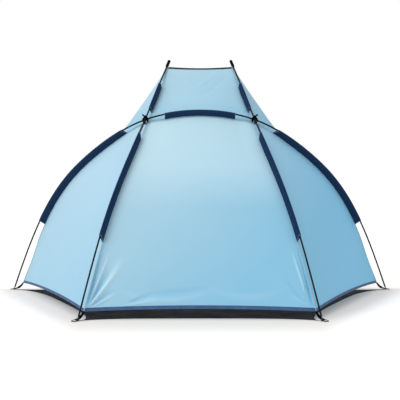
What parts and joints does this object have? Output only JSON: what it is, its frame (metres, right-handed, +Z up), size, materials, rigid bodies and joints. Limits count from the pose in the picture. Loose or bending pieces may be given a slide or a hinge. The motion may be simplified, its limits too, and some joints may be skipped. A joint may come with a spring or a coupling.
{
  "type": "beach tent",
  "caption": "Open-fronted beach shelter: a light blue cloth shell hung in navy sleeves from a leaning hoop pole and two bowed side poles, over a dark groundsheet.",
  "frame": {"origin": "on the ground, midway between the two sides and between the frontmost and rearmost points of the feet", "axes": "+X to the right as seen from behind, +Y out of the open front, +Z up"},
  "size_m": [2.1828, 1.2524, 1.2978],
  "materials": {
    "fibreglass": "semi-gloss dark grey",
    "steel": "satin",
    "black_plastic": "moulded matt black",
    "elastic": "braided cover",
    "webbing": "woven black webbing",
    "sky_cloth": "light blue coated polyester",
    "navy_cloth": "navy twill",
    "blue_binding": "mid blue folded tape",
    "ground_cloth": "dark coated woven sheet"
  },
  "bodies": {
    "tent": {"crossing_tie_left": "webbing", "crossing_tie_right": "webbing", "foot_pin_front_left": "steel", "foot_pin_front_right": "steel", "foot_pin_rear_left": "steel", "foot_pin_rear_right": "steel", "foot_strap_front_left": "webbing", "foot_strap_front_right": "webbing", "foot_strap_rear_left": "webbing", "foot_strap_rear_right": "webbing", "groundsheet": "ground_cloth", "hoop_ferrule_1": "steel", "hoop_ferrule_2": "steel", "hoop_ferrule_3": "steel", "hoop_ferrule_4": "steel", "hoop_ferrule_5": "steel", "hoop_section_1": "fibreglass", "hoop_section_2": "fibreglass", "hoop_section_3": "fibreglass", "hoop_section_4": "fibreglass", "hoop_section_5": "fibreglass", "hoop_section_6": "fibreglass", "hoop_shock_cord": "elastic", "hoop_sleeve_crown": "navy_cloth", "hoop_sleeve_left": "navy_cloth", "hoop_sleeve_right": "navy_cloth", "rear_hem_binding": "blue_binding", "rear_wall": "sky_cloth", "roof_edge_binding": "navy_cloth", "roof_panel": "sky_cloth", "side_hem_binding_left": "blue_binding", "side_hem_binding_right": "blue_binding", "side_pole_left_ferrule_1": "steel", "side_pole_left_ferrule_2": "steel", "side_pole_left_section_1": "fibreglass", "side_pole_left_section_2": "fibreglass", "side_pole_left_section_3": "fibreglass", "side_pole_right_ferrule_1": "steel", "side_pole_right_ferrule_2": "steel", "side_pole_right_section_1": "fibreglass", "side_pole_right_section_2": "fibreglass", "side_pole_right_section_3": "fibreglass", "side_shock_cord_left": "elastic", "side_shock_cord_right": "elastic", "side_sleeve_lower_left": "navy_cloth", "side_sleeve_lower_right": "navy_cloth", "side_sleeve_upper_left": "navy_cloth", "side_sleeve_upper_right": "navy_cloth", "side_wall_left": "sky_cloth", "side_wall_right": "sky_cloth", "tip_cap_left": "black_plastic", "tip_cap_right": "black_plastic", "tip_loop_left": "webbing", "tip_loop_right": "webbing", "wing_left": "sky_cloth", "wing_right": "sky_cloth"},
    "foot_ring_front_left": {"foot_ring_front_left": "steel"},
    "foot_ring_front_right": {"foot_ring_front_right": "steel"},
    "foot_ring_rear_left": {"foot_ring_rear_left": "steel"},
    "foot_ring_rear_right": {"foot_ring_rear_right": "steel"}
  },
  "joints": [
    {"name": "ring_front_left", "type": "hinge", "parent": "tent", "child": "foot_ring_front_left", "pos_m": [-1.06281, 0.60566, 0.00565], "axis": [0.4911, 0.8711, 0], "range_deg": [0, 95]},
    {"name": "ring_front_right", "type": "hinge", "parent": "tent", "child": "foot_ring_front_right", "pos_m": [1.06281, 0.60566, 0.00565], "axis": [0.4911, -0.8711, 0], "range_deg": [0, 95]},
    {"name": "ring_rear_left", "type": "hinge", "parent": "tent", "child": "foot_ring_rear_left", "pos_m": [-0.57705, -0.59591, 0.00565], "axis": [-0.7772, 0.6293, 0], "range_deg": [0, 95]},
    {"name": "ring_rear_right", "type": "hinge", "parent": "tent", "child": "foot_ring_rear_right", "pos_m": [0.57705, -0.59591, 0.00565], "axis": [-0.7772, -0.6293, 0], "range_deg": [0, 95]}
  ]
}
